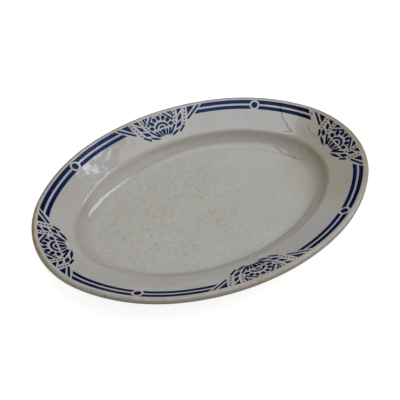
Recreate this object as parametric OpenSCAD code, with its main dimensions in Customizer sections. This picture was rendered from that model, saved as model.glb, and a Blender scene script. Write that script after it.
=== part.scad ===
// Oval serving platter with a dished rim and a stencilled cobalt border.
// The origin is at the middle of the foot ring's resting face, +X along the platter, +Z up.
// The oval has eight centres: end arcs, four corner arcs and side arcs that meet smoothly, so
// every line of the rim runs parallel to the edge and the rim is equally wide all round.

/* [Oval] */
// Radius of the oval's two end arcs
end_r = 107; // [102:0.5:111]
// Radius of the four corner arcs
corner_r = 171; // [164:0.5:178]
// Radius of the two side arcs
side_r = 219; // [210:0.5:232]

/* [Section] */
// Height of the rim's edge above the table
height = 38; // [32:0.5:46]
// Thickness of the clay in the rim, the wall and the floor
body_th = 5.5; // [4.5:0.1:6]
// Thickness of the rolled edge of the rim
edge_th = 6.2; // [6:0.1:8]
// Width of the rim in plan, from the edge to the corner where it meets the wall
rim_w = 40; // [38:0.5:44]
// Slope of the rim at its edge, in degrees
rim_edge_a = 28; // [25:0.5:31]
// Slope of the rim at the shoulder, in degrees
rim_shoulder_a = 22; // [18:0.5:24]
// Slope of the wall of the well, in degrees
wall_a = 56; // [48:1:62]
// Radius of the shoulder between the rim and the wall
shoulder_r = 8; // [6.5:0.5:10]
// Share of the wall's height that is straight. The rest is the hollow down to the well's floor
straight_share = 0.06; // [0.04:0.01:0.6]

/* [Foot ring] */
// Height of the foot ring below the floor
foot_h = 2.5; // [1.5:0.1:4]
// Width of the foot ring
foot_w = 5; // [4:0.1:7]
// Radius on the two edges that the ring stands on
foot_edge_r = 1; // [0.5:0.1:1.4]
// Distance of the ring's outer face outward from the foot of the wall's hollow
foot_out = 2.5; // [1.5:0.1:4]

/* [Bands] */
// Thickness of the cobalt colour on the glaze
print_th = 0.15; // [0.1:0.01:0.3]
// Inset of the outer band from the edge
band_inset = 5.7; // [5.2:0.1:6.2]
// Width of the outer band
outer_band_w = 4; // [3:0.1:4.5]
// Width of the bare line between the two bands
band_gap = 2.1; // [1.5:0.1:2.5]
// Width of the inner band
inner_band_w = 3.8; // [3:0.1:4.5]

/* [Roundels] */
// Direction in degrees from the long axis of the normal to the edge at a roundel
roundel_a = 56; // [50:1:60]
// Inset of a roundel's centre from the edge
roundel_inset = 11; // [10:0.1:12]
// Diameter of a roundel's dot
roundel_d = 6.9; // [5:0.1:8]
// Width of the bare ring round the dot
roundel_ring = 2.1; // [1.5:0.1:3]

/* [Fans] */
// Inset from the edge of the line that the fans hang from
fan_inset = 6; // [5.6:0.1:6.5]
// Half width of a fan along that line
fan_half_w = 48; // [44:0.5:50]
// Depth of the far and near fans from that line towards the well
side_fan_depth = 27.2; // [25:0.2:28]
// Depth of the left and right fans from that line towards the well
end_fan_depth = 25.2; // [23.6:0.2:26]
// Radius of the ring that the petals' centres lie on
petal_ring_r = 11.4; // [11:0.1:11.8]
// Length of a petal
petal_l = 5.4; // [4.5:0.1:5.6]
// Width of a petal
petal_w = 4.2; // [3.5:0.1:4.4]
// Outer half width of the arch round the half disc
arch_r = 7.6; // [7:0.1:7.8]
// Width of the arch's bar
arch_w = 2.7; // [2:0.1:3]
// Half width of the half disc
disc_r = 3; // [2:0.1:3.4]
// Diameter of a dot in the four columns
column_dot_d = 2; // [1.4:0.1:2.2]
// Diameter of a dot between two petals
petal_dot_d = 1.5; // [1:0.1:1.6]
// Width of a straight stroke
stroke_w = 1.6; // [1.2:0.1:1.8]
// Width of a leaf at its middle
leaf_w = 2.2; // [1.5:0.1:2.4]

/* [Hidden] */
$fn = 96;

clay = "#cfcac0";
cobalt = "#1f2a5c";

// Overlap of the floor slab under the swept sections
floor_lap = 3;
// Share of an arc that each of its two sweeps covers
sweep_share = 0.6;
// Number of petals on each side of the middle one, and the angle from one to the next
petal_pairs = 3;
petal_step = 27;
// Height of the half disc and the arch as a share of their half width
dome_share = 0.82;
// Share of a fan's depth at which the half rosette stands, and the middle ray below it
rosette_share = 0.56;
wedge_shares = [[0, 0.645], [0, 0.885]];
wedge_width_shares = [2.7, 1.1];
// Half of the angle that the colour's surface is swept through under a fan
fan_sweep_a = 33;
// Each fan was stencilled a little off its axis, by a turn about its arc's centre in degrees
far_turn_a = -0.2;
near_turn_a = 0.6;
left_turn_a = 1.4;
right_turn_a = -0.9;
leaf_steps = 8;
petal_step_a = 20;
// Number of steps along the rim, a fillet, a small edge, the rolled edge and, in degrees, the
// floor's outline
rim_steps = 6;
round_steps = 6;
small_steps = 3;
lip_steps = 18;
oval_step_a = 4;

// The arcs meet on the directions of a 3-4-5 and a 44-117-125 triangle, which put all eight
// centres on plain numbers
end_joint = [4, 3] / 5;
side_joint = [44, 117] / 125;
end_a = atan2(end_joint.y, end_joint.x);
side_a = atan2(side_joint.y, side_joint.x);
corner_more = corner_r - end_r;
side_more = side_r - corner_r;
end_c = [corner_more * end_joint.x + side_more * side_joint.x, 0];
corner_c = end_c - corner_more * end_joint;
side_c = [0, corner_c.y - side_more * side_joint.y];

// The section is drawn with the edge at x = 0 and the well towards -x
function normal(a) = [-sin(a), cos(a)];
function arc(c, r, a0, a1, n, first = 0) =
    [for (i = [first : n]) c + r * normal(a0 + (a1 - a0) * i / n)];
function reversed(list) = [for (i = [len(list) - 1 : -1 : 0]) list[i]];

edge_r = edge_th / 2;
edge_c = [-edge_r, height - edge_r];
floor_z = foot_h + body_th;

// The rim is an arc that leaves the rolled edge smoothly and flattens towards the shoulder
shoulder_run = shoulder_r * tan((wall_a - rim_shoulder_a) / 2) * cos(rim_shoulder_a);
rim_run = rim_w - shoulder_run - edge_r * (1 + sin(rim_edge_a));
rim_r = rim_run / (sin(rim_edge_a) - sin(rim_shoulder_a));
rim_c = edge_c + (edge_r + rim_r) * normal(rim_edge_a);
shoulder_c = rim_c - (rim_r + shoulder_r) * normal(rim_shoulder_a);

// The wall runs straight from the shoulder to the long hollow that brings it down to the floor
wall_top = shoulder_c + shoulder_r * normal(wall_a);
wall_drop = wall_top.y - floor_z;
well_r = wall_drop * (1 - straight_share) / (1 - cos(wall_a));
wall_run = wall_drop * straight_share / tan(wall_a);
well_c = [wall_top.x - wall_run - well_r * sin(wall_a), floor_z + well_r];

// The underside lies one clay thickness below, and meets the rolled edge at an angle
under_r = rim_r + body_th;
edge_to_rim = edge_r + rim_r;
edge_cos = (edge_to_rim * edge_to_rim + edge_r * edge_r - under_r * under_r)
         / (2 * edge_to_rim * edge_r);
edge_turn = 360 - acos(max(-1, edge_cos));
under_a = rim_edge_a - asin(edge_r * sin(360 - edge_turn) / under_r);

// The foot ring stands where the hollow's underside comes down to the base
foot_x = well_c.x + foot_out;
foot_a = -asin(foot_out / (well_r + body_th));
section_end = foot_x - foot_w - floor_lap;

section_top = concat(
    arc(edge_c, edge_r, rim_edge_a - edge_turn, rim_edge_a, lip_steps, 1),
    arc(rim_c, -rim_r, rim_edge_a, rim_shoulder_a, rim_steps, 1),
    arc(shoulder_c, shoulder_r, rim_shoulder_a, wall_a, round_steps, 1),
    arc(well_c, -well_r, wall_a, 0, round_steps),
    [[section_end, floor_z]]);

section_under = concat(
    [[section_end, foot_h], [foot_x - foot_w, foot_h]],
    arc([foot_x - foot_w + foot_edge_r, foot_edge_r], foot_edge_r, 90, 180, small_steps),
    arc([foot_x - foot_edge_r, foot_edge_r], foot_edge_r, 180, 270, small_steps),
    arc(well_c, -well_r - body_th, -foot_a, wall_a, round_steps),
    arc(shoulder_c, shoulder_r - body_th, wall_a, rim_shoulder_a, small_steps),
    arc(rim_c, -under_r, rim_shoulder_a, under_a, rim_steps, 1));

// Sweeps a section along one arc of the oval, from both of its ends past its middle, so that
// each end lies exactly on its joint
module along_arc(centre, r, a0, a1) {
    translate(centre) for (end = [[a0, 1], [a1, -1]])
        rotate([0, 0, end[0]]) rotate_extrude(angle = end[1] * sweep_share * (a1 - a0))
            translate([r, 0]) children();
}

module along_end() { along_arc(end_c, end_r, -end_a, end_a) children(); }
module along_corner() { along_arc(corner_c, corner_r, end_a, side_a) children(); }
module along_side() { along_arc(side_c, side_r, side_a, 180 - side_a) children(); }

module in_quadrants() {
    for (mx = [0, 1], my = [0, 1]) mirror([mx, 0, 0]) mirror([0, my, 0]) children();
}

module along_oval() {
    for (m = [0, 1]) {
        mirror([m, 0, 0]) along_end() children();
        mirror([0, m, 0]) along_side() children();
    }
    in_quadrants() along_corner() children();
}

// Points of the oval at an inset from the edge, one quadrant after another
function arc_of(a) =
    a < end_a ? [end_c, end_r] : a < side_a ? [corner_c, corner_r] : [side_c, side_r];
function oval_point(a, inset) = arc_of(a)[0] + (arc_of(a)[1] - inset) * [cos(a), sin(a)];
function quadrant(inset) = [for (a = [0 : oval_step_a : 90]) oval_point(a, inset)];

module floor_slab() {
    q = quadrant(-section_end - floor_lap / 2);
    half = concat(q, reversed([for (p = q) [-p.x, p.y]]));
    translate([0, 0, foot_h]) linear_extrude(body_th)
        polygon(concat(half, reversed([for (p = half) [p.x, -p.y]])));
}

module body() {
    color(clay) {
        along_oval() polygon(concat(section_top, section_under));
        floor_slab();
    }
}

// The colour lies on the rim as a thin skin between the rim's own surface and one above it
module rim_skin() {
    polygon(concat(
        arc(rim_c, -rim_r, rim_edge_a, rim_shoulder_a, rim_steps),
        reversed(arc(rim_c, print_th - rim_r, rim_edge_a, rim_shoulder_a, rim_steps))));
}

// A fan is drawn about the centre of the arc that carries it, with its axis along +Y.
// A share is [across, down]: across the fan's half width, and down from its line by its depth
fan_line_inset = band_inset + outer_band_w + band_gap / 2;
function fan_point(r, depth, share) =
    let (a = share.x * fan_half_w / (r - fan_line_inset) * 180 / PI)
    (r - fan_inset - share.y * depth) * [sin(a), cos(a)];
function fan_points(r, depth, shares, side) =
    [for (p = shares) fan_point(r, depth, [side * p.x, p.y])];

function along(p, q, u) = p + (q - p) * u;
function across(p, q) = [q.y - p.y, p.x - q.x] / norm(q - p);

// A straight bar from p to q that is w0 wide at p and w1 wide at q
function bar(p, q, w0, w1) =
    let (n = across(p, q) / 2) [p + n * w0, q + n * w1, q - n * w1, p - n * w0];

// A leaf from tip p to tip q, and an oval
function leaf(p, q, w) =
    let (n = across(p, q) * w / 2)
    concat([for (i = [0 : leaf_steps]) along(p, q, i / leaf_steps) + n * sin(180 * i / leaf_steps)],
           [for (i = [leaf_steps - 1 : -1 : 1])
               along(p, q, i / leaf_steps) - n * sin(180 * i / leaf_steps)]);
function half_oval(rx, ry) = [for (a = [0 : petal_step_a : 180]) [rx * cos(a), ry * sin(a)]];
function oval(rx, ry) = [for (a = [0 : petal_step_a : 359]) [rx * cos(a), ry * sin(a)]];

// The half rosette: a half disc, an arch and petals with dots between their outer ends
module half_rosette() {
    polygon(half_oval(disc_r, disc_r * dome_share));
    polygon(concat(half_oval(arch_r, arch_r * dome_share),
                   reversed(half_oval(arch_r - arch_w, (arch_r - arch_w) * dome_share))));
    for (i = [-petal_pairs : petal_pairs]) rotate([0, 0, i * petal_step])
        translate([0, petal_ring_r]) polygon(oval(petal_w / 2, petal_l / 2));
    for (i = [-petal_pairs : petal_pairs - 1]) rotate([0, 0, (i + 1 / 2) * petal_step])
        translate([0, petal_ring_r + petal_l / 2 + petal_dot_d / 4]) circle(d = petal_dot_d);
}

// One side of a fan: its triangles and lozenges, bars, leaf and columns of dots
module half_fan(r, depth, figures, bars, leaf_ends, columns, counts, side) {
    for (f = figures) polygon(fan_points(r, depth, f, side));
    for (b = bars) {
        ends = fan_points(r, depth, [b[0], b[1]], side);
        polygon(bar(ends[0], ends[1], b[2] * stroke_w, b[3] * stroke_w));
    }
    tips = fan_points(r, depth, leaf_ends, side);
    polygon(leaf(tips[0], tips[1], leaf_w));
    for (i = [0 : len(columns) - 1]) {
        ends = fan_points(r, depth, columns[i], side);
        for (j = [0 : counts[i] - 1])
            translate(along(ends[0], ends[1], j / (counts[i] - 1))) circle(d = column_dot_d);
    }
}

// Figures run over the fan's line and are cut off along it
side_figure_shares = [
    [[0.215, -0.05], [0.300, -0.05], [0.306, 0.15]],
    [[0.492, -0.05], [0.630, -0.05], [0.469, 0.21]],
    [[0.740, -0.05], [0.930, -0.05], [0.700, 0.32]],
    [[0.565, 0.18], [0.520, 0.405], [0.430, 0.475], [0.465, 0.315]],
    [[0.510, 0.50], [0.4625, 0.67], [0.333, 0.757], [0.3875, 0.588]]];
side_bar_shares = [
    [[0.120, -0.04], [0.320, 0.342], 0.85, 0.85],
    [[0.342, 0.010], [0.342, 0.245], 1, 1],
    [[1.020, -0.03], [0.680, 0.485], 1, 1],
    [[0.548, 0.702], [0.400, 0.920], 1.1, 1],
    [[0.327, 0.574], [0.155, 0.897], 1.05, 0.9],
    [[0.190, 0.654], [0.110, 0.904], 1.2, 0.8],
    [[0.102, 0.654], [0.058, 0.900], 1.2, 0.7]];
side_leaf_shares = [[0.390, 0.81], [0.160, 1]];
side_column_shares = [[[0.415, 0.06], [0.352, 0.47]], [[0.667, 0.07], [0.565, 0.60]]];
side_gap_shares = [[0, -0.6], [1.30, -0.6], [1.10, -0.04], [0.86, 0.37]];

end_figure_shares = [
    [[0.210, -0.05], [0.367, -0.05], [0.371, 0.19]],
    [[0.483, -0.05], [0.645, -0.05], [0.483, 0.19]],
    [[0.732, -0.05], [0.915, -0.05], [0.715, 0.278]],
    [[0.575, 0.183], [0.550, 0.350], [0.467, 0.413], [0.494, 0.250]],
    [[0.570, 0.456], [0.533, 0.647], [0.417, 0.700], [0.452, 0.548]]];
end_bar_shares = [
    [[0.105, -0.04], [0.369, 0.306], 0.9, 0.9],
    [[1.010, -0.04], [0.715, 0.400], 1, 1],
    [[0.633, 0.563], [0.535, 0.786], 1.2, 1.1],
    [[0.380, 0.556], [0.155, 0.900], 1.2, 0.9],
    [[0.235, 0.625], [0.145, 0.850], 1.3, 0.8],
    [[0.125, 0.635], [0.072, 0.865], 1.3, 0.7]];
end_leaf_shares = [[0.490, 0.754], [0.188, 1]];
end_column_shares = [[[0.429, 0.07], [0.420, 0.448]], [[0.652, 0.08], [0.642, 0.448]]];
end_gap_shares = [[0, -0.6], [1.25, -0.6], [1.067, -0.04], [0.862, 0.40]];

// The side fans have one dot fewer in the inner column on their right
side_counts = [[4, 5], [5, 5]];
end_counts = [[4, 4], [4, 4]];

module fan(r, depth, figures, bars, leaf_ends, columns, counts) {
    color(cobalt) intersection() {
        linear_extrude(height) intersection() {
            circle(r = r - fan_inset);
            union() {
                for (k = [0, 1])
                    half_fan(r, depth, figures, bars, leaf_ends, columns, counts[k], 1 - 2 * k);
                translate(fan_point(r, depth, [0, rosette_share])) half_rosette();
                polygon(bar(fan_point(r, depth, wedge_shares[0]), fan_point(r, depth, wedge_shares[1]),
                            wedge_width_shares[0] * stroke_w, wedge_width_shares[1] * stroke_w));
            }
        }
        rotate([0, 0, 90 - fan_sweep_a]) rotate_extrude(angle = 2 * fan_sweep_a)
            translate([r, 0]) rim_skin();
    }
}

module side_fan() {
    fan(side_r, side_fan_depth, side_figure_shares, side_bar_shares,
        side_leaf_shares, side_column_shares, side_counts);
}

module end_fan() {
    fan(end_r, end_fan_depth, end_figure_shares, end_bar_shares,
        end_leaf_shares, end_column_shares, end_counts);
}

// Each place puts the centre of a fan's arc where it belongs on the oval
module far_place() { translate(side_c) rotate([0, 0, far_turn_a]) children(); }
module near_place() { translate(-side_c) rotate([0, 0, 180 + near_turn_a]) children(); }
module left_place() { translate(-end_c) rotate([0, 0, 90 + left_turn_a]) children(); }
module right_place() { translate(end_c) rotate([0, 0, right_turn_a - 90]) children(); }

module far_fan() { far_place() side_fan(); }
module near_fan() { near_place() side_fan(); }
module left_fan() { left_place() end_fan(); }
module right_fan() { right_place() end_fan(); }

// The gap that a fan leaves in the bands, with slanted ends, from its middle to its right
module fan_gap(r, depth, shares) {
    half = fan_points(r, depth, shares, 1);
    linear_extrude(height)
        polygon(concat(half, reversed([for (p = half) if (p.x > 0) [-p.x, p.y]])));
}

module side_gap() { fan_gap(side_r, side_fan_depth, side_gap_shares); }
module end_gap() { fan_gap(end_r, end_fan_depth, end_gap_shares); }

module band(inset, w) {
    color(cobalt) difference() {
        along_oval() intersection() {
            rim_skin();
            translate([-inset - w, 0]) square([w, height]);
        }
        far_place() side_gap();
        near_place() side_gap();
        left_place() end_gap();
        right_place() end_gap();
        at_roundels() cylinder(d = roundel_d + 2 * roundel_ring, h = height);
    }
}

module outer_band() { band(band_inset, outer_band_w); }
module inner_band() { band(band_inset + outer_band_w + band_gap, inner_band_w); }

module at_roundels() { in_quadrants() translate(oval_point(roundel_a, roundel_inset)) children(); }

module roundels() {
    color(cobalt) in_quadrants() intersection() {
        translate(oval_point(roundel_a, roundel_inset)) cylinder(d = roundel_d, h = height);
        translate(corner_c) rotate([0, 0, end_a]) rotate_extrude(angle = side_a - end_a)
            translate([corner_r, 0]) rim_skin();
    }
}

body();
outer_band();
inner_band();
roundels();
far_fan();
near_fan();
left_fan();
right_fan();
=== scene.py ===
"""An oval serving platter in glazed earthenware with a stencilled cobalt border.

Lengths are in millimetres until a mesh, a light or a pattern is made, and angles in degrees.
"""
import math

import bmesh
import bpy
from mathutils import Matrix, Vector


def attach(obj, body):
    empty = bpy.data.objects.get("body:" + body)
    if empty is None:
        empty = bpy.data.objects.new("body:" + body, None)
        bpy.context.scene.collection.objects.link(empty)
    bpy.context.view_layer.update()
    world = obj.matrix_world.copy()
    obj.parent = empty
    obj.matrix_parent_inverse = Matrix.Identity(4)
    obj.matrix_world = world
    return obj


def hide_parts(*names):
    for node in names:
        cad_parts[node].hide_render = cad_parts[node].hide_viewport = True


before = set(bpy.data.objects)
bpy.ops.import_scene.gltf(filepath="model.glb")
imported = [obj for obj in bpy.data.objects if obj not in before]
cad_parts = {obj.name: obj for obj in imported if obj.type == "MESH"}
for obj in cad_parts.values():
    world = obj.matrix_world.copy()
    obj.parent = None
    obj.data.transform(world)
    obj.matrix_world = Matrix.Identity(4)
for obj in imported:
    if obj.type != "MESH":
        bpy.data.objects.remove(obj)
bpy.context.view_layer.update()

MM = 0.001

# The oval: radii of its end, corner and side arcs
end_r, corner_r, side_r = 107, 171, 219

# The section: clay, rolled edge, rim, shoulder, wall and the hollow above the floor
height, body_th, edge_th = 38, 5.5, 6.2
rim_w, rim_edge_a, rim_shoulder_a = 40, 28, 22
wall_a, shoulder_r, straight_share = 56, 8, 0.06

# The foot ring
foot_h, foot_w, foot_edge_r, foot_out = 2.5, 5, 1, 2.5

# The cobalt bands and roundels
band_inset, outer_band_w, band_gap, inner_band_w = 5.7, 4, 2.1, 3.8
inner_band_inset = band_inset + outer_band_w + band_gap
roundel_a, roundel_inset, roundel_d, roundel_ring = 56, 11, 6.9, 2.1

# The fans, and how far each was stencilled off its axis
fan_inset, fan_half_w = 6, 48
side_fan_depth, end_fan_depth = 27.2, 25.2
petal_ring_r, petal_l, petal_w, petal_pairs, petal_step = 11.4, 5.4, 4.2, 3, 27
arch_r, arch_w, disc_r, dome_share, rosette_share = 7.6, 2.7, 3, 0.82, 0.56
column_dot_d, petal_dot_d, stroke_w, leaf_w = 2, 1.5, 1.6, 2.2
wedge_shares = [(0, 0.645), (0, 0.885)]
wedge_width_shares = (2.7, 1.1)
far_turn_a, near_turn_a, left_turn_a, right_turn_a = -0.2, 0.6, 1.4, -0.9

# How far the colour of a fan's strokes and of its half rosette ran sideways under the glaze
colour_run, rosette_run = 0.3, 0.06

# The skin of colour: how far it stands over the glaze and reaches into it, and its mesh's grid
colour_lift, colour_sink, colour_grid = 0.05, 0.1, 2.5

# Steps of the platter's mesh
end_steps, corner_steps, side_steps = 24, 26, 22
lip_steps, rim_steps, round_steps, wall_steps, floor_steps = 24, 28, 16, 4, 12


def sin_d(a):
    return math.sin(math.radians(a))


def cos_d(a):
    return math.cos(math.radians(a))


def between(p, q, share):
    return tuple(a + (b - a) * share for a, b in zip(p, q))


# The arcs meet on the directions of a 3-4-5 and a 44-117-125 triangle
end_a = math.degrees(math.atan2(3, 4))
side_a = math.degrees(math.atan2(117, 44))
end_c = ((corner_r - end_r) * cos_d(end_a) + (side_r - corner_r) * cos_d(side_a), 0)
corner_c = (end_c[0] - (corner_r - end_r) * cos_d(end_a), -(corner_r - end_r) * sin_d(end_a))
side_c = (0, corner_c[1] - (side_r - corner_r) * sin_d(side_a))


def plan_point(a, inset):
    """The point in plan whose edge normal points at angle a, that far in from the edge."""
    a %= 360
    sx = -1 if 90 < a < 270 else 1
    sy = -1 if a > 180 else 1
    folded = math.degrees(math.asin(min(1, abs(sin_d(a)))))
    if folded < end_a:
        centre, radius = end_c, end_r
    elif folded < side_a:
        centre, radius = corner_c, corner_r
    else:
        centre, radius = side_c, side_r
    reach = radius - inset
    return sx * (centre[0] + reach * cos_d(folded)), sy * (centre[1] + reach * sin_d(folded))


# The section is drawn with the edge at x = 0 and the well towards -x, and z up
def along_normal(point, distance, a):
    return point[0] - distance * sin_d(a), point[1] + distance * cos_d(a)


def section_arc(centre, radius, start, end, steps, first=0):
    turn = (end - start) / steps
    return [along_normal(centre, radius, start + turn * i) for i in range(first, steps + 1)]


edge_r = edge_th / 2
edge_c = (-edge_r, height - edge_r)
floor_z = foot_h + body_th
shoulder_run = shoulder_r * math.tan(math.radians(wall_a - rim_shoulder_a) / 2) * cos_d(rim_shoulder_a)
rim_run = rim_w - shoulder_run - edge_r * (1 + sin_d(rim_edge_a))
rim_r = rim_run / (sin_d(rim_edge_a) - sin_d(rim_shoulder_a))
rim_c = along_normal(edge_c, edge_r + rim_r, rim_edge_a)
shoulder_c = along_normal(rim_c, -(rim_r + shoulder_r), rim_shoulder_a)
wall_top = along_normal(shoulder_c, shoulder_r, wall_a)
wall_drop = wall_top[1] - floor_z
well_r = wall_drop * (1 - straight_share) / (1 - cos_d(wall_a))
wall_run = wall_drop * straight_share / math.tan(math.radians(wall_a))
well_c = (wall_top[0] - wall_run - well_r * sin_d(wall_a), floor_z + well_r)
under_r = rim_r + body_th
edge_cos = ((edge_r + rim_r) ** 2 + edge_r ** 2 - under_r ** 2) / (2 * (edge_r + rim_r) * edge_r)
edge_turn = 360 - math.degrees(math.acos(max(-1, edge_cos)))
under_a = rim_edge_a - math.degrees(math.asin(edge_r * sin_d(360 - edge_turn) / under_r))
foot_x = well_c[0] + foot_out
foot_a = math.degrees(math.asin(foot_out / (well_r + body_th)))


def edge_inset(x, y):
    """How far in from the edge a point in plan lies."""
    x, y = abs(x), abs(y)
    if math.atan2(y, x - end_c[0]) < math.radians(end_a):
        return end_r - math.hypot(x - end_c[0], y)
    if math.atan2(y - corner_c[1], x - corner_c[0]) < math.radians(side_a):
        return corner_r - math.hypot(x - corner_c[0], y - corner_c[1])
    return side_r - math.hypot(x - side_c[0], y - side_c[1])


def mesh_object(name, vertices, faces, sharp_a=35):
    """A smooth shaded mesh from points in millimetres, with its normals turned outward."""
    mesh = bpy.data.meshes.new(name)
    mesh.from_pydata([[MM * c for c in v] for v in vertices], [], faces)
    shape = bmesh.new()
    shape.from_mesh(mesh)
    bmesh.ops.recalc_face_normals(shape, faces=shape.faces[:])
    shape.to_mesh(mesh)
    shape.free()
    mesh.polygons.foreach_set("use_smooth", [True] * len(mesh.polygons))
    mesh.set_sharp_from_angle(angle=math.radians(sharp_a))
    piece = bpy.data.objects.new(name, mesh)
    bpy.context.scene.collection.objects.link(piece)
    return piece


def quadrant_angles():
    """Directions of the edge's normal at the platter's mesh lines, over one quadrant."""
    angles = [end_a * i / end_steps for i in range(end_steps)]
    angles += [end_a + (side_a - end_a) * i / corner_steps for i in range(corner_steps)]
    angles += [side_a + (90 - side_a) * i / side_steps for i in range(side_steps)]
    return angles


def oval_angles():
    quarter = quadrant_angles()
    half = quarter + [180 - a for a in reversed(quarter[1:] + [90])]
    return half + [180 + a for a in half]


# Insets and heights of the glazed surface, from the rim's edge to the well's floor
glazed_profile = []


def body_rings():
    """The section's points from under the rolled edge, over the rim, to the middle of the well,
    then from the middle of the underside out over the foot ring and back up. Each is (inset,
    height, share of that oval), and the share shrinks the floor's rings towards the middle."""
    top = section_arc(edge_c, edge_r, rim_edge_a - edge_turn, rim_edge_a, lip_steps, 1)
    top += section_arc(rim_c, -rim_r, rim_edge_a, rim_shoulder_a, rim_steps, 1)
    top += section_arc(shoulder_c, shoulder_r, rim_shoulder_a, wall_a, round_steps, 1)
    hollow = section_arc(well_c, -well_r, wall_a, 0, round_steps)
    top += [between(top[-1], hollow[0], i / wall_steps) for i in range(1, wall_steps)] + hollow
    outermost = max(range(lip_steps), key=lambda i: top[i][0])
    glazed_profile.extend((-x, z) for x, z in top[outermost:])
    foot_in = foot_x - foot_w
    under = [(foot_in, foot_h)]
    under += section_arc((foot_in + foot_edge_r, foot_edge_r), foot_edge_r, 90, 180, wall_steps)
    under += section_arc((foot_x - foot_edge_r, foot_edge_r), foot_edge_r, 180, 270, wall_steps)
    outer = section_arc(well_c, -well_r - body_th, foot_a, wall_a, round_steps)
    bend = section_arc(shoulder_c, shoulder_r - body_th, wall_a, rim_shoulder_a, round_steps)
    under += outer + [between(outer[-1], bend[0], i / wall_steps) for i in range(1, wall_steps)]
    under += bend + section_arc(rim_c, -under_r, rim_shoulder_a, under_a, rim_steps, 1)
    shares = [i / floor_steps for i in range(floor_steps - 1, 0, -1)]
    rings = [(-x, z, 1) for x, z in top] + [(-well_c[0], floor_z, s) for s in shares]
    return rings, [(-foot_in, foot_h, s) for s in reversed(shares)] + [(-x, z, 1) for x, z in under]


def platter():
    """The clay body as one closed mesh, ring by ring round the oval."""
    upper, lower = body_rings()
    angles = oval_angles()
    count = len(angles)
    vertices, insets = [], []
    for inset, z, share in upper + lower:
        for a in angles:
            x, y = plan_point(a, inset)
            vertices.append((x * share, y * share, z))
            insets.append(inset)
    faces = []
    ring_total = len(upper) + len(lower)
    for ring in range(ring_total):
        if ring == len(upper) - 1:
            continue
        start, after = ring * count, (ring + 1) % ring_total * count
        for k in range(count):
            n = (k + 1) % count
            faces.append((start + k, start + n, after + n, after + k))
    for ring, z in ((len(upper) - 1, floor_z), (len(upper), foot_h)):
        middle = len(vertices)
        vertices.append((0, 0, z))
        insets.append(-well_c[0])
        faces += [(ring * count + k, ring * count + (k + 1) % count, middle) for k in range(count)]
    piece = mesh_object("platter_body", vertices, faces)
    layer = piece.data.attributes.new("inset", "FLOAT", "POINT")
    layer.data.foreach_set("value", insets)
    return piece


def glazed_height(inset):
    """Height of the glazed surface at an inset from the edge."""
    for (i0, z0), (i1, z1) in zip(glazed_profile, glazed_profile[1:]):
        if i0 <= inset <= i1:
            return z0 + (z1 - z0) * (inset - i0) / (i1 - i0)
    return floor_z


def skin_piece(name, points, flat_faces, lift=colour_lift):
    """A thin closed skin on the glaze over a flat sheet of faces: top, underside and walls."""
    count = len(points)
    heights = [glazed_height(edge_inset(x, y)) for x, y in points]
    vertices = [(x, y, z + lift) for (x, y), z in zip(points, heights)]
    vertices += [(x, y, z - colour_sink) for (x, y), z in zip(points, heights)]
    directed = set()
    for face in flat_faces:
        directed.update(zip(face, face[1:] + face[:1]))
    faces = [list(f) for f in flat_faces]
    faces += [[count + p for p in reversed(f)] for f in flat_faces]
    faces += [[q, p, count + p, count + q] for p, q in directed if (q, p) not in directed]
    return mesh_object(name, vertices, faces)


def clipped(outline, radius):
    """The part of an outline inside a circle about the origin, closed along the circle."""
    reach = [math.hypot(*p) for p in outline]
    if max(reach) <= radius:
        return outline
    start = reach.index(min(reach))
    outline = outline[start:] + outline[:start + 1]
    kept, left_at = [], None
    for p, q in zip(outline, outline[1:]):
        rp, rq = math.hypot(*p), math.hypot(*q)
        if rp <= radius:
            kept.append(p)
        if (rp <= radius) == (rq <= radius):
            continue
        cross = between(p, q, (radius - rp) / (rq - rp))
        if rp <= radius:
            left_at = cross
            kept.append(cross)
            continue
        a0, a1 = math.atan2(*left_at), math.atan2(*cross)
        steps = max(1, math.ceil(abs(a1 - a0) * radius / colour_grid))
        for i in range(1, steps):
            a = a0 + (a1 - a0) * i / steps
            kept.append((radius * math.sin(a), radius * math.cos(a)))
        kept.append(cross)
    return kept


def stencilled(name, outlines, places=(((0, 0), 0),), lift=colour_lift):
    """A skin from outlines drawn about a centre, at each of its places. A place is that centre
    and the turn of the outlines' axis from +Y."""
    sheet = bmesh.new()
    for outline in outlines:
        sheet.faces.new([sheet.verts.new((x, y, 0)) for x, y in outline])
    for axis in (Vector((1, 0, 0)), Vector((0, 1, 0))):
        reach = [v.co.dot(axis) for v in sheet.verts]
        for k in range(1, math.ceil((max(reach) - min(reach)) / colour_grid)):
            bmesh.ops.bisect_plane(sheet, geom=sheet.verts[:] + sheet.edges[:] + sheet.faces[:],
                                   plane_co=axis * (min(reach) + k * colour_grid), plane_no=axis)
    bmesh.ops.triangulate(sheet, faces=sheet.faces[:])
    sheet.verts.index_update()
    flat = [(v.co.x, v.co.y) for v in sheet.verts]
    triangles = [[v.index for v in f.verts] for f in sheet.faces]
    sheet.free()
    points, faces = [], []
    for centre, turn in places:
        faces += [[len(points) + i for i in t] for t in triangles]
        for x, y in flat:
            points.append((centre[0] + x * cos_d(turn) - y * sin_d(turn),
                           centre[1] + x * sin_d(turn) + y * cos_d(turn)))
    return skin_piece(name, points, faces, lift)


# Where a fan's arc has its centre, its radius, and the turn from +Y to the fan's axis
fan_places = {
    "far": (side_c, side_r, far_turn_a),
    "near": ((0, -side_c[1]), side_r, 180 + near_turn_a),
    "left": ((-end_c[0], 0), end_r, 90 + left_turn_a),
    "right": (end_c, end_r, right_turn_a - 90),
}
fan_depths = {"far": side_fan_depth, "near": side_fan_depth,
              "left": end_fan_depth, "right": end_fan_depth}
fan_line_inset = band_inset + outer_band_w + band_gap / 2


def fan_point(radius, depth, share, side=1):
    """A share is across the fan's half width and down from its line by its depth."""
    a = side * share[0] * fan_half_w / (radius - fan_line_inset)
    reach = radius - fan_inset - share[1] * depth
    return reach * math.sin(a), reach * math.cos(a)


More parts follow.
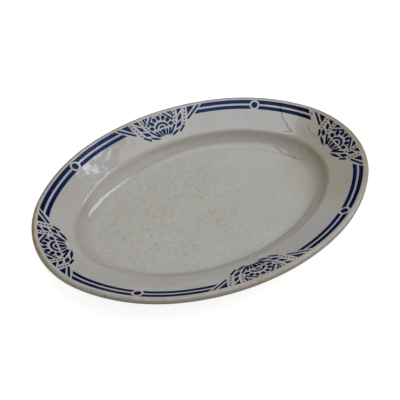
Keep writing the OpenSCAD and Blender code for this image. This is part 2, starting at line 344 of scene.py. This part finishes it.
def bar(p, q, w0, w1):
    """A straight bar from p to q that is w0 wide at p and w1 wide at q."""
    length = math.dist(p, q)
    nx, ny = (q[1] - p[1]) / length / 2, (p[0] - q[0]) / length / 2
    return [(p[0] + nx * w0, p[1] + ny * w0), (q[0] + nx * w1, q[1] + ny * w1),
            (q[0] - nx * w1, q[1] - ny * w1), (p[0] - nx * w0, p[1] - ny * w0)]


def leaf(p, q, width, steps=8):
    """A leaf from p to q that is pointed at both ends."""
    length = math.dist(p, q)
    nx, ny = (q[1] - p[1]) / length * width / 2, (p[0] - q[0]) / length * width / 2
    middle = [(between(p, q, i / steps), sin_d(180 * i / steps)) for i in range(steps + 1)]
    one = [(x + nx * s, y + ny * s) for (x, y), s in middle]
    other = [(x - nx * s, y - ny * s) for (x, y), s in reversed(middle[1:-1])]
    return one + other


def oval(centre, rx, ry, turn=0, end=345, step=15):
    """An oval, or a half of one that ends at 180, turned about its centre."""
    points = []
    for a in range(0, end + 1, step):
        x, y = rx * cos_d(a), ry * sin_d(a)
        points.append((centre[0] + x * cos_d(turn) - y * sin_d(turn),
                       centre[1] + x * sin_d(turn) + y * cos_d(turn)))
    return points


def dot(centre, diameter):
    """A small round dot, with half the points of an oval."""
    return oval(centre, diameter / 2, diameter / 2, end=330, step=30)


def half_rosette(centre):
    """A half disc, an arch, and petals with dots between their outer ends."""
    inner = arch_r - arch_w
    shapes = [oval(centre, disc_r, disc_r * dome_share, end=180)]
    shapes.append(oval(centre, arch_r, arch_r * dome_share, end=180)
                  + oval(centre, inner, inner * dome_share, end=180)[::-1])
    for i in range(-petal_pairs, petal_pairs + 1):
        a = i * petal_step
        at = (centre[0] - petal_ring_r * sin_d(a), centre[1] + petal_ring_r * cos_d(a))
        shapes.append(oval(at, petal_w / 2, petal_l / 2, a))
    shapes = [spread(s, rosette_run) for s in shapes]
    dot_ring_r = petal_ring_r + petal_l / 2 + petal_dot_d / 4
    for i in range(-petal_pairs, petal_pairs):
        a = (i + 0.5) * petal_step
        at = (centre[0] - dot_ring_r * sin_d(a), centre[1] + dot_ring_r * cos_d(a))
        shapes.append(dot(at, petal_dot_d))
    return shapes


side_fan_shares = {
    "figures": [
        [(0.215, -0.05), (0.300, -0.05), (0.306, 0.15)],
        [(0.492, -0.05), (0.630, -0.05), (0.469, 0.21)],
        [(0.740, -0.05), (0.930, -0.05), (0.700, 0.32)],
        [(0.565, 0.18), (0.520, 0.405), (0.430, 0.475), (0.465, 0.315)],
        [(0.510, 0.50), (0.4625, 0.67), (0.333, 0.757), (0.3875, 0.588)]],
    "bars": [
        ((0.120, -0.04), (0.320, 0.342), 0.85, 0.85),
        ((0.342, 0.010), (0.342, 0.245), 1, 1),
        ((1.020, -0.03), (0.680, 0.485), 1, 1),
        ((0.548, 0.702), (0.400, 0.920), 1.1, 1),
        ((0.327, 0.574), (0.155, 0.897), 1.05, 0.9),
        ((0.190, 0.654), (0.110, 0.904), 1.2, 0.8),
        ((0.102, 0.654), (0.058, 0.900), 1.2, 0.7)],
    "leaf": [(0.390, 0.81), (0.160, 1)],
    "columns": [[(0.415, 0.06), (0.352, 0.47)], [(0.667, 0.07), (0.565, 0.60)]],
    "gap": [(1.10, -0.04), (0.86, 0.37)],
}
end_fan_shares = {
    "figures": [
        [(0.210, -0.05), (0.367, -0.05), (0.371, 0.19)],
        [(0.483, -0.05), (0.645, -0.05), (0.483, 0.19)],
        [(0.732, -0.05), (0.915, -0.05), (0.715, 0.278)],
        [(0.575, 0.183), (0.550, 0.350), (0.467, 0.413), (0.494, 0.250)],
        [(0.570, 0.456), (0.533, 0.647), (0.417, 0.700), (0.452, 0.548)]],
    "bars": [
        ((0.105, -0.04), (0.369, 0.306), 0.9, 0.9),
        ((1.010, -0.04), (0.715, 0.400), 1, 1),
        ((0.633, 0.563), (0.535, 0.786), 1.2, 1.1),
        ((0.380, 0.556), (0.155, 0.900), 1.2, 0.9),
        ((0.235, 0.625), (0.145, 0.850), 1.3, 0.8),
        ((0.125, 0.635), (0.072, 0.865), 1.3, 0.7)],
    "leaf": [(0.490, 0.754), (0.188, 1)],
    "columns": [[(0.429, 0.07), (0.420, 0.448)], [(0.652, 0.08), (0.642, 0.448)]],
    "gap": [(1.067, -0.04), (0.862, 0.40)],
}
# Dots in the inner and outer column, right of the fan's axis and then left of it
side_counts, end_counts = [(4, 5), (5, 5)], [(4, 4), (4, 4)]


def drawing(name):
    """The shares that a fan is drawn by, and its counts of dots."""
    on_side = name in ("far", "near")
    return (side_fan_shares, side_counts) if on_side else (end_fan_shares, end_counts)


def spread(outline, by, least_cos=0.6):
    """An outline pushed outwards all round, as the colour runs a little under the glaze. The
    least cosine keeps a sharp corner from being pushed out into a spike."""
    turning = sum(p[0] * q[1] - q[0] * p[1] for p, q in zip(outline, outline[1:] + outline[:1]))
    reach = math.copysign(by, turning)
    pushed = []
    for i, here in enumerate(outline):
        there = outline[(i + 1) % len(outline)]
        way_in = (Vector(here) - Vector(outline[i - 1])).normalized()
        way_out = (Vector(there) - Vector(here)).normalized()
        along = (way_in + way_out).normalized()
        corner = reach / max(least_cos, along.dot(way_in))
        pushed.append((here[0] + along.y * corner, here[1] - along.x * corner))
    return pushed


def fan_outlines(radius, depth, shares, counts):
    """A fan's strokes about its arc's centre, cut off along its line."""
    outlines = half_rosette(fan_point(radius, depth, (0, rosette_share)))
    wedge = bar(*[fan_point(radius, depth, s) for s in wedge_shares],
                *[w * stroke_w for w in wedge_width_shares])
    outlines.append(spread(wedge, colour_run))
    for side, dots in zip((1, -1), counts):
        for figure in shares["figures"]:
            outlines.append(spread([fan_point(radius, depth, s, side) for s in figure], colour_run))
        for p, q, w0, w1 in shares["bars"]:
            ends = [fan_point(radius, depth, s, side) for s in (p, q)]
            outlines.append(spread(bar(*ends, w0 * stroke_w, w1 * stroke_w), colour_run))
        ends = [fan_point(radius, depth, s, side) for s in shares["leaf"]]
        outlines.append(spread(leaf(*ends, leaf_w), colour_run))
        for column, count in zip(shares["columns"], dots):
            ends = [fan_point(radius, depth, s, side) for s in column]
            for j in range(count):
                outlines.append(dot(between(*ends, j / (count - 1)), column_dot_d))
    return [clipped(o, radius - fan_inset) for o in outlines]


def fans():
    """The four fans, by the names of their CAD nodes."""
    pieces = {}
    for name, (centre, radius, turn) in fan_places.items():
        outlines = fan_outlines(radius, fan_depths[name], *drawing(name))
        pieces[name + "_fan"] = stencilled(name + "_fan_colour", outlines, [(centre, turn)])
    return pieces


def roundels():
    """The four round dots, each on its corner arc."""
    places = []
    for sx, sy, a in ((1, 1, roundel_a), (-1, 1, 180 - roundel_a),
                      (-1, -1, 180 + roundel_a), (1, -1, 360 - roundel_a)):
        places.append(((sx * corner_c[0], sy * corner_c[1]), a - 90))
    disc = oval((0, corner_r - roundel_inset), roundel_d / 2, roundel_d / 2)
    return stencilled("roundel_colour", [disc], places)


def gap_end(name, inset):
    """The angle from a fan's axis at which its bare gap in the bands ends."""
    radius = fan_places[name][1]
    shares = drawing(name)[0]
    p, q = [fan_point(radius, fan_depths[name], s) for s in shares["gap"]]
    rp, rq = math.hypot(*p), math.hypot(*q)
    x, y = between(p, q, (rp - radius + inset) / (rp - rq))
    return math.degrees(math.atan2(x, y))


def ring_end(inset):
    """The angle from a roundel's axis at which the bare ring round it ends."""
    reach, centre_reach = corner_r - inset, corner_r - roundel_inset
    bare_r = roundel_d / 2 + roundel_ring
    return math.degrees(math.acos((reach ** 2 + centre_reach ** 2 - bare_r ** 2)
                                  / (2 * reach * centre_reach)))


def stretch_ends(inset):
    """Angles at which a band's eight stretches start and end, at an inset. Each stretch lies
    between a fan's slanted gap and a roundel's bare ring."""
    ends = []
    round_order = ("right", "far", "left", "near", "right")
    for quarter, (fan, after) in enumerate(zip(round_order, round_order[1:])):
        middle = 90 * quarter + (90 - roundel_a if quarter % 2 else roundel_a)
        first = 90 + fan_places[fan][2] + (0 if quarter else repair_turn_a)
        last = 90 + fan_places[after][2] + (0 if quarter < 3 else 360)
        ends.append((first + gap_end(fan, inset), middle - ring_end(inset)))
        ends.append((middle + ring_end(inset), last - gap_end(after, inset)))
    return ends


def band(name, inset, width, across=3, step_a=1.5):
    """A band's eight stretches, as rows of points along the edge."""
    rows = [inset + width * j / across for j in range(across + 1)]
    ends_by_row = [stretch_ends(at) for at in rows]
    points, faces = [], []
    for stretch, (first, last) in enumerate(ends_by_row[0]):
        steps = math.ceil((last - first) / step_a)
        base = len(points)
        for at, ends in zip(rows, ends_by_row):
            start, end = ends[stretch]
            points += [plan_point(start + (end - start) * k / steps, at) for k in range(steps + 1)]
        for j in range(across):
            for k in range(steps):
                p = base + j * (steps + 1) + k
                faces.append([p, p + 1, p + steps + 2, p + steps + 1])
    return skin_piece(name, points, faces)


def line_outlines(points, width, tip_share=0.2):
    """Outlines of the bars that follow a line through points in plan, pointed at its ends."""
    widths = [width * tip_share] + [width] * (len(points) - 2) + [width * tip_share]
    return [bar(*ends) for ends in zip(points, points[1:], widths, widths[1:])]


# An old break beside the right fan, in plan: its hairlines, and where its filling lies
crack_lines = [
    [(135.0, 82.5), (131.7, 78.1), (128.3, 73.0), (127.2, 67.1), (125.8, 63.5), (126.2, 58.8),
     (125.5, 50.0), (127.2, 44.2), (124.2, 45.9), (117.7, 50.1)],
    [(144.3, 39.4), (142.6, 34.0), (142.4, 29.1), (143.9, 21.9), (147.0, 18.6)],
    [(103.6, 45.5), (106.4, 39.9), (109.4, 31.5), (112.9, 25.4), (116.1, 19.2), (123.5, 9.0)],
]
crack_w = 0.9
filling_c, filling_reach = (151, 36, 32), 17
chipped_c, chipped_reach = (124, 22, 11), 13
# The colour lost to the break: how far the bands' ends draw back, and the dash left between
repair_turn_a = 3.1
left_dash, left_dash_widths = [(154.3, 48.9), (153.3, 46.3)], (1.3, 1.1)
# The colour that ran into the first crack: the angle of each band's patch, and the patch's
# outline as turns from there and shares of the band's width
outer_patch_a, inner_patch_a = 45.4, 45.2
patch_turns = (-0.75, 0.3, 0.85, 0.6, 0.9, -0.5, -0.8)
patch_shares = (0.02, 0.02, 0.3, 0.7, 0.98, 0.98, 0.6)


def cracks():
    """Hairlines of the old break, drawn a little wider than real so that they show."""
    outlines = [o for line in crack_lines for o in line_outlines(line, crack_w)]
    return stencilled("hairline_cracks", outlines)


def crack_stains():
    """Colour that ran into the crack where it crosses the two bands."""
    outlines = []
    for inset, width, a in ((band_inset, outer_band_w, outer_patch_a),
                            (inner_band_inset, inner_band_w, inner_patch_a)):
        outlines.append([plan_point(a + turn, inset + width * share)
                         for turn, share in zip(patch_turns, patch_shares)])
    return stencilled("crack_stains", outlines, lift=colour_lift * 2)


# The fired clay under its glaze
rim_clay, well_clay, wall_clay = "#9b9790", "#a09f98", "#958f87"

# A clear glaze has an IOR of about 1.5. This one is worn and shines less, and the colour under
# it soaks up most of what it mirrors
glaze_ior, cobalt_ior = 1.36, 1.1

# The paper that the platter stands on
paper_w, paper_colour, paper_glow = 12000, "#b4b4b2", 0.82

# Insets between which the clay's colour changes
rim_to_wall, wall_to_floor, floor_to_wall = (37, 42), (50, 60), (57, 48)

# Where the right end is painted darker and yellower as warm shade, and where food has stained the
# floor of the well
warm_shade_c, warm_shade_reach = (168, -20, 34), 115
stained_c, stained_reach = (-42, 2, floor_z), 132

# The room's light low down and high up, where along Z it changes from one to the other, and
# where the white below the horizon ends, which carries the paper on
room_light = (0.05, 0.62)
room_above = (0.1, 0.6)
horizon = (0.05, 0.07)

# Panels of light: the point each faces, its direction, distance, width, length, radiance, colour
panels = {
    "ceiling": ((0, 0, 30), (0.048, 0.1, 0.99), 2000, 990, 1000, 3.4, "#e8f0fb"),
    "window": ((-94, 92, 30), (0.66, 0.02, 0.752), 1600, 220, 920, 12, "#d2e0ff"),
    "pane": ((-94, 92, 30), (0.475, 0.135, 0.868), 1600, 105, 95, 13, "#d8e0ff"),
    "softbox": ((-60, 60, 30), (0.65, -0.45, 0.61), 1500, 1400, 1400, 1.4, "#fffdf8"),
}


def linear(hex_colour):
    """An sRGB hex value as linear RGBA."""
    channels = [int(hex_colour[i:i + 2], 16) / 255 for i in (1, 3, 5)]
    return [c / 12.92 if c <= 0.04045 else ((c + 0.055) / 1.055) ** 2.4 for c in channels] + [1]


def node(tree, kind, inputs=(), out=0, **settings):
    """Adds a node with its settings, links or sets its inputs, by name or in their order, and
    gives one of its outputs."""
    made = tree.nodes.new("ShaderNode" + kind)
    for name, value in settings.items():
        setattr(made, name, value)
    for name, value in inputs.items() if isinstance(inputs, dict) else enumerate(inputs):
        if isinstance(value, bpy.types.NodeSocket):
            tree.links.new(value, made.inputs[name])
        else:
            made.inputs[name].default_value = value
    return made.outputs[out] if made.outputs else None


def new_material(name):
    """An empty material, and its tree."""
    material = bpy.data.materials.new(name)
    material.use_nodes = True
    material.node_tree.nodes.clear()
    return material, material.node_tree


def per_mm(size):
    """The scale at which a pattern repeats about once in that many millimetres."""
    return 1 / (size * MM)


def laid_over(tree, colour, layers):
    """Lays tints over a colour, one after another. Each sets in where its pattern is at start,
    and reaches its share where the pattern is at full."""
    for pattern, start, full, share, tint in layers:
        reach = node(tree, "MapRange", (pattern, start, full, 0, share),
                     interpolation_type="SMOOTHSTEP")
        colour = node(tree, "MixRGB", (reach, colour, linear(tint)))
    return colour


def nearness(tree, position, centre, reach, core=0.4, share=1):
    """A share near a point of the platter, falling to nothing at its reach, in millimetres."""
    away = node(tree, "VectorMath", (position, [c * MM for c in centre]), "Value",
                operation="DISTANCE")
    return node(tree, "MapRange", (away, reach * MM, reach * core * MM, 0, share),
                interpolation_type="SMOOTHSTEP")


def glaze_relief(tree, position):
    """The glaze ran as it melted: long waves 24 mm apart and a fine orange peel. The filling of
    the old break left its patch of the wall rough."""
    long_waves = node(tree, "TexNoise", {"Vector": position, "Scale": per_mm(24), "Detail": 2})
    waves = node(tree, "Bump", {"Height": long_waves, "Strength": 1, "Distance": 0.5 * MM})
    grains = node(tree, "TexNoise", {"Vector": position, "Scale": per_mm(3.5), "Detail": 3})
    rough = node(tree, "Math", (nearness(tree, position, chipped_c, chipped_reach), grains),
                 operation="MULTIPLY")
    chipped = node(tree, "Bump", {"Height": rough, "Strength": 1, "Distance": 1.2 * MM,
                                  "Normal": waves})
    peel = node(tree, "TexNoise", {"Vector": position, "Scale": per_mm(2.6), "Detail": 2})
    return node(tree, "Bump", {"Height": peel, "Strength": 1, "Distance": 0.02 * MM,
                               "Normal": chipped})


def specks(tree, position, spacing, size, chosen, share=1, turn=0, stretch=1):
    """Small soft specks seen from above, one in each cell of that spacing that is chosen. Each
    is that size across, and drawn out along a turned direction by stretch."""
    laid = node(tree, "Mapping", {"Vector": position, "Rotation": (0, 0, math.radians(turn)),
                                  "Scale": (per_mm(spacing * stretch), per_mm(spacing), 1)})
    away = node(tree, "TexVoronoi", {"Vector": laid, "Scale": 1}, "Distance",
                voronoi_dimensions="2D")
    pick = node(tree, "SeparateColor", (away.node.outputs["Color"],))
    picked = node(tree, "MapRange", (pick, chosen, chosen * 0.6, 0, share))
    return node(tree, "MapRange", (away, size / spacing / 2, size / spacing / 8, 0, picked),
                interpolation_type="SMOOTHSTEP")


def uneven_firing(tree, position, colour, on_floor):
    """Broad clouds, a fine mottle that is stronger on the floor, and painted shade that tints the
    right end darker and yellower.
    """
    clouds = node(tree, "TexNoise", {"Vector": position, "Scale": per_mm(45), "Detail": 3})
    mottle = node(tree, "TexNoise", {"Vector": position, "Scale": per_mm(4), "Detail": 5,
                                     "Roughness": 0.7})
    pale = node(tree, "TexNoise", {"Vector": position, "Scale": per_mm(7), "Detail": 3})
    warm_shade = nearness(tree, position, warm_shade_c, warm_shade_reach, 0.3)
    return laid_over(tree, colour, [
        (clouds, 0.3, 0.7, 0.3, "#958d80"),
        (mottle, 0.7, 0.3, node(tree, "MapRange", (on_floor, 0, 1, 0.14, 0.26)), "#7f7a6b"),
        (pale, 0.5, 0.75, 0.07, "#c2c3bf"),
        # Painted shade: the right end tinted darker and yellower, as the warmer, dimmer light there
        (warm_shade, 0, 1, 0.5, "#857a60"),
    ])


def food_stains(tree, position, colour, stained):
    """Ragged yellow blots, freckles, rust specks in three sizes, and pits."""
    ragged = node(tree, "TexNoise", {"Vector": position, "Scale": per_mm(9), "Detail": 6,
                                     "Roughness": 0.75})
    fine = node(tree, "TexNoise", {"Vector": position, "Scale": per_mm(2.6), "Detail": 4,
                                   "Roughness": 0.7})
    return laid_over(tree, colour, [
        (ragged, 0.46, 0.7, node(tree, "MapRange", (stained, 0, 1, 0, 0.55)), "#9a8a60"),
        (fine, 0.56, 0.74, node(tree, "MapRange", (stained, 0, 1, 0.04, 0.55)), "#8d7a50"),
        (specks(tree, position, 11, 4.4, 0.24, stained), 0, 1, 0.5, "#8c7446"),
        (specks(tree, position, 6.5, 1.8, 0.15, stained), 0, 1, 0.7, "#7f663c"),
        (specks(tree, position, 19, 2.3, 0.3, stained), 0, 1, 0.85, "#684828"),
        (specks(tree, position, 22, 1.5, 0.2), 0, 1, 0.45, "#544d42"),
    ])


def knife_marks(tree, position, stained):
    """Short thin scratches that hold dirt, most of them along the platter."""
    marks = specks(tree, position, 3.2, 1.2, 0.045, stained, 8, 8)
    for turn, chosen in ((-6, 0.03), (-24, 0.02), (47, 0.015), (96, 0.01)):
        more = specks(tree, position, 3, 1.1, chosen, stained, turn, 7)
        marks = node(tree, "Math", (marks, more), operation="MAXIMUM")
    return marks


def crazing_lines(tree, position):
    """The distance to a line of crazing. Crazing is finer than the picture shows, so its cells
    are drawn 6 mm wide and faint."""
    wander = node(tree, "TexNoise", {"Vector": position, "Scale": per_mm(7)}, "Color")
    bent = node(tree, "VectorMath", (wander, [4 * MM] * 3, position), operation="MULTIPLY_ADD")
    return node(tree, "TexVoronoi", {"Vector": bent, "Scale": per_mm(6)}, "Distance",
                feature="DISTANCE_TO_EDGE")


def worn_edge(tree, position, colour, inset, across, height_above):
    """A worn tan line over the crest, a greyer outer side, dirt and painted shade that darken the
    outer side towards its bottom, most on the near side, and chips."""
    wear = node(tree, "TexNoise", {"Vector": position, "Scale": per_mm(9), "Detail": 3})
    far_side = node(tree, "MapRange", (across, -0.06, -0.01, 0.15, 1))
    worn = node(tree, "MapRange", (wear, 0.25, 0.6, 0.45, far_side))
    over_crest = node(tree, "MapRange", (height_above, (height - 2.8) * MM, (height - 1.2) * MM,
                                         0, worn))
    grey_side = node(tree, "MapRange", (across, -0.06, -0.01, 0.75, 0.15))
    near_side = node(tree, "MapRange", (across, -0.02, -0.06, 0.3, 0.85))
    dirt_and_shade_share = node(tree, "MapRange", (height_above, (height - 6.3) * MM, (height - 5.4) * MM,
                                         0, near_side))
    dirt_and_shade_outside = node(tree, "MapRange", (inset, 2.2, 1.2, 0, dirt_and_shade_share))
    along_edge = node(tree, "MapRange", (inset, 3.4, 2.2))
    return laid_over(tree, colour, [
        (inset, 4.6, 2.6, over_crest, "#7a623f"),
        (inset, 1.3, 0.3, grey_side, "#86786c"),
        # Dirt and painted shade: the outer side darkens towards the bottom of the rolled edge, most on
        # the near side
        (height_above, (height - 2.6) * MM, (height - 3.8) * MM, dirt_and_shade_outside, "#4c3e33"),
        (specks(tree, position, 9, 3, 0.3, along_edge), 0, 1, 0.65, "#6e4f38"),
    ])


def earthenware():
    """Clear glaze over a pale pressed earthenware body: greyish cream, with yellow stains, rust
    specks, knife marks and faint crazing in the well, and a worn tan line along the edge."""
    material, tree = new_material("glazed_earthenware")
    position = node(tree, "TexCoord", out="Object")
    across = node(tree, "SeparateXYZ", (position,), "Y")
    height_above = across.node.outputs["Z"]
    inset = node(tree, "Attribute", out="Fac", attribute_name="inset")

    on_floor = node(tree, "MapRange", (inset, *wall_to_floor))
    off_floor = node(tree, "MapRange", (inset, *floor_to_wall))
    stained = nearness(tree, position, stained_c, stained_reach, 0.2, on_floor)
    colour = laid_over(tree, linear(rim_clay), [
        (inset, *wall_to_floor, 1, well_clay),
        (inset, *rim_to_wall, off_floor, wall_clay),
    ])
    colour = uneven_firing(tree, position, colour, on_floor)
    colour = food_stains(tree, position, colour, stained)
    marks = knife_marks(tree, position, stained)

    # A dark yellowish line along the near foot of the wall, and the old break was filled
    on_near_side = node(tree, "MapRange", (across, -0.03, -0.07, 0, 0.6))
    near_foot_line = node(tree, "MapRange", (inset, 53.5, 51.5, 0, on_near_side))
    filled = nearness(tree, position, filling_c, filling_reach, 0.6)
    colour = laid_over(tree, colour, [
        (marks, 0, 1, 0.7, "#856c42"),
        (crazing_lines(tree, position), 0.03, 0, 0.12, "#6f6856"),
        (inset, 49, 50.5, near_foot_line, "#7f7552"),
        (filled, 0, 1, 0.5, "#988b82"),
    ])
    colour = worn_edge(tree, position, colour, inset, across, height_above)

    # The foot ring stands on bare clay
    bare = node(tree, "MapRange", (height_above, 0.9 * MM, 0.3 * MM))
    colour = laid_over(tree, colour, [(bare, 0, 1, 1, "#b7a386")])

    # Smears, knife marks and bare clay are duller than the glaze, and so is the floor
    smears = node(tree, "TexNoise", {"Vector": position, "Scale": per_mm(12), "Detail": 3})
    roughness = node(tree, "MapRange", (on_floor, 0, 1, 0.05, 0.22))
    for pattern, low, high, added in ((smears, 0.4, 0.7, 0.05), (marks, 0, 1, 0.2),
                                      (bare, 0, 1, 0.55)):
        duller = node(tree, "MapRange", (pattern, low, high, 0, added))
        roughness = node(tree, "Math", (roughness, duller), operation="ADD")
    shader = node(tree, "BsdfPrincipled", {"Base Color": colour, "Roughness": roughness,
                                           "IOR": glaze_ior,
                                           "Normal": glaze_relief(tree, position)})
    node(tree, "OutputMaterial", (shader,))
    return material


def cobalt():
    """Cobalt colour sprayed through a stencil under the glaze: dark navy, a little uneven where
    the spray was thin, and glossy. The colour soaks up most of what the glaze mirrors."""
    material, tree = new_material("cobalt_under_glaze")
    position = node(tree, "TexCoord", out="Object")
    spray = node(tree, "TexNoise", {"Vector": position, "Scale": per_mm(3.5), "Detail": 4,
                                    "Roughness": 0.65})
    broad = node(tree, "TexNoise", {"Vector": position, "Scale": per_mm(40), "Detail": 2})
    # Painted reflection: the far side is tinted lighter blue, as the bright ceiling mirrored in the
    # glaze
    across = node(tree, "SeparateXYZ", (position,), "Y")
    colour = laid_over(tree, linear("#010520"), [
        (spray, 0.35, 0.7, 1, "#060f3c"),
        (broad, 0.45, 0.65, 0.3, "#0b1b48"),
        (across, 0.04, 0.13, 0.85, "#182c54"),
        (specks(tree, position, 4.5, 1.1, 0.14), 0, 1, 0.35, "#64677c"),
    ])
    shader = node(tree, "BsdfPrincipled", {"Base Color": colour, "Roughness": 0.1,
                                           "IOR": cobalt_ior,
                                           "Normal": glaze_relief(tree, position)})
    node(tree, "OutputMaterial", (shader,))
    return material


def stain(name, dark, light, roughness):
    """Old dirt or colour drawn into a crack, darker in places."""
    material, tree = new_material(name)
    position = node(tree, "TexCoord", out="Object")
    soaked = node(tree, "TexNoise", {"Vector": position, "Scale": per_mm(5), "Detail": 3})
    colour = laid_over(tree, linear(dark), [(soaked, 0.35, 0.65, 1, light)])
    shader = node(tree, "BsdfPrincipled", {"Base Color": colour, "Roughness": roughness,
                                           "IOR": cobalt_ior,
                                           "Normal": glaze_relief(tree, position)})
    node(tree, "OutputMaterial", (shader,))
    return material


def paper():
    """A white paper floor. What the camera and the gloss see of it glows, so that it reads as
    white, while it keeps the platter's shadow."""
    material, tree = new_material("white_paper")
    seen = node(tree, "LightPath", out="Is Camera Ray")
    rays = seen.node.outputs
    for ray in (rays["Is Glossy Ray"], rays["Is Transmission Ray"]):
        seen = node(tree, "Math", (seen, ray), operation="MAXIMUM")
    matte = node(tree, "BsdfDiffuse", (linear(paper_colour),))
    glow = node(tree, "Emission", (linear("#ffffff"),
                                   node(tree, "MapRange", (seen, 0, 1, 0, paper_glow))))
    node(tree, "OutputMaterial", (node(tree, "AddShader", (matte, glow)),))
    return material


def room():
    """The world: white below the horizon, a dim room that brightens upwards above it, and white
    wherever the camera sees it."""
    world = bpy.data.worlds.new("room")
    bpy.context.scene.world = world
    world.use_nodes = True
    tree = world.node_tree
    up = node(tree, "SeparateXYZ", (node(tree, "TexCoord", out="Generated"),), "Z")
    sky = node(tree, "MapRange", (up, *room_above, *room_light), interpolation_type="SMOOTHSTEP")
    light = node(tree, "MapRange", (up, *horizon, 1, sky))
    seen = node(tree, "LightPath", out="Is Camera Ray")
    light = node(tree, "Math", (light, seen), operation="MAXIMUM")
    background = tree.nodes["Background"]
    background.inputs["Color"].default_value = linear("#ffffff")
    tree.links.new(light, background.inputs["Strength"])


# Camera, fitted to the photograph's frame of 400 pixels
image_px, sensor_w = 400, 36
focal_px = 710.75
principal_px = (210.53, 198.76)
camera_az, camera_el, camera_roll = -20.86, 45.02, -5.40
camera_distance = 703.95
camera_target = (-0.49, -18.84, height - edge_r)


def camera():
    """The camera at its fitted place, level apart from its roll."""
    data = bpy.data.cameras.new("camera")
    data.sensor_width = sensor_w
    data.lens = focal_px * sensor_w / image_px
    data.shift_x = (image_px / 2 - principal_px[0]) / image_px
    data.shift_y = (principal_px[1] - image_px / 2) / image_px
    data.clip_start = 0.01
    back = Vector((sin_d(camera_az) * cos_d(camera_el), -cos_d(camera_az) * cos_d(camera_el),
                   sin_d(camera_el)))
    level = (-back).cross(Vector((0, 0, 1))).normalized()
    above = level.cross(-back)
    right = level * cos_d(camera_roll) + above * sin_d(camera_roll)
    up = above * cos_d(camera_roll) - level * sin_d(camera_roll)
    place = (Vector(camera_target) + back * camera_distance) * MM
    holder = bpy.data.objects.new("camera", data)
    holder.matrix_world = Matrix((
        (right.x, up.x, back.x, place.x),
        (right.y, up.y, back.y, place.y),
        (right.z, up.z, back.z, place.z),
        (0, 0, 0, 1)))
    bpy.context.scene.collection.objects.link(holder)
    bpy.context.scene.camera = holder


def panel_light(name, aim, direction, distance, width, length, radiance, colour):
    """A soft panel of light that faces a point of the platter."""
    data = bpy.data.lights.new(name, "AREA")
    data.shape = "RECTANGLE"
    data.size, data.size_y = width * MM, length * MM
    data.energy = radiance * math.pi * data.size * data.size_y
    data.color = linear(colour)[:3]
    holder = bpy.data.objects.new(name, data)
    away = Vector(direction).normalized()
    holder.location = (Vector(aim) + away * distance) * MM
    holder.rotation_euler = away.to_track_quat("Z", "Y").to_euler()
    bpy.context.scene.collection.objects.link(holder)


def surroundings():
    """The paper floor, the room and the panels of light."""
    bpy.ops.mesh.primitive_plane_add(size=paper_w * MM)
    floor = bpy.context.object
    floor.name = "paper_floor"
    floor.data.materials.append(paper())
    room()
    for name, settings in panels.items():
        panel_light(name, *settings)


bpy.context.scene.view_settings.view_transform = "Standard"
camera()
surroundings()

glazed = earthenware()
blue = cobalt()

body = platter()
body.data.materials.append(glazed)
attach(body, "root")
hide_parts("body")

colours = fans()
colours["roundels"] = roundels()
colours["outer_band"] = band("outer_band_colour", band_inset, outer_band_w)
colours["inner_band"] = band("inner_band_colour", inner_band_inset, inner_band_w)
for cad_node, piece in colours.items():
    piece.data.materials.append(blue)
    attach(piece, "root")
    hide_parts(cad_node)

break_marks = [
    (cracks(), stain("stained_hairline", "#625c50", "#857e70", 0.35), "glazed_earthenware"),
    (crack_stains(), stain("cobalt_in_crack", "#050920", "#0b1230", 0.12), "cobalt_colour"),
    (stencilled("band_dash_colour", [bar(*left_dash, *left_dash_widths)]), blue, "cobalt_colour"),
]
for piece, finish, slot in break_marks:
    piece.data.materials.append(finish)
    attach(piece, "root")
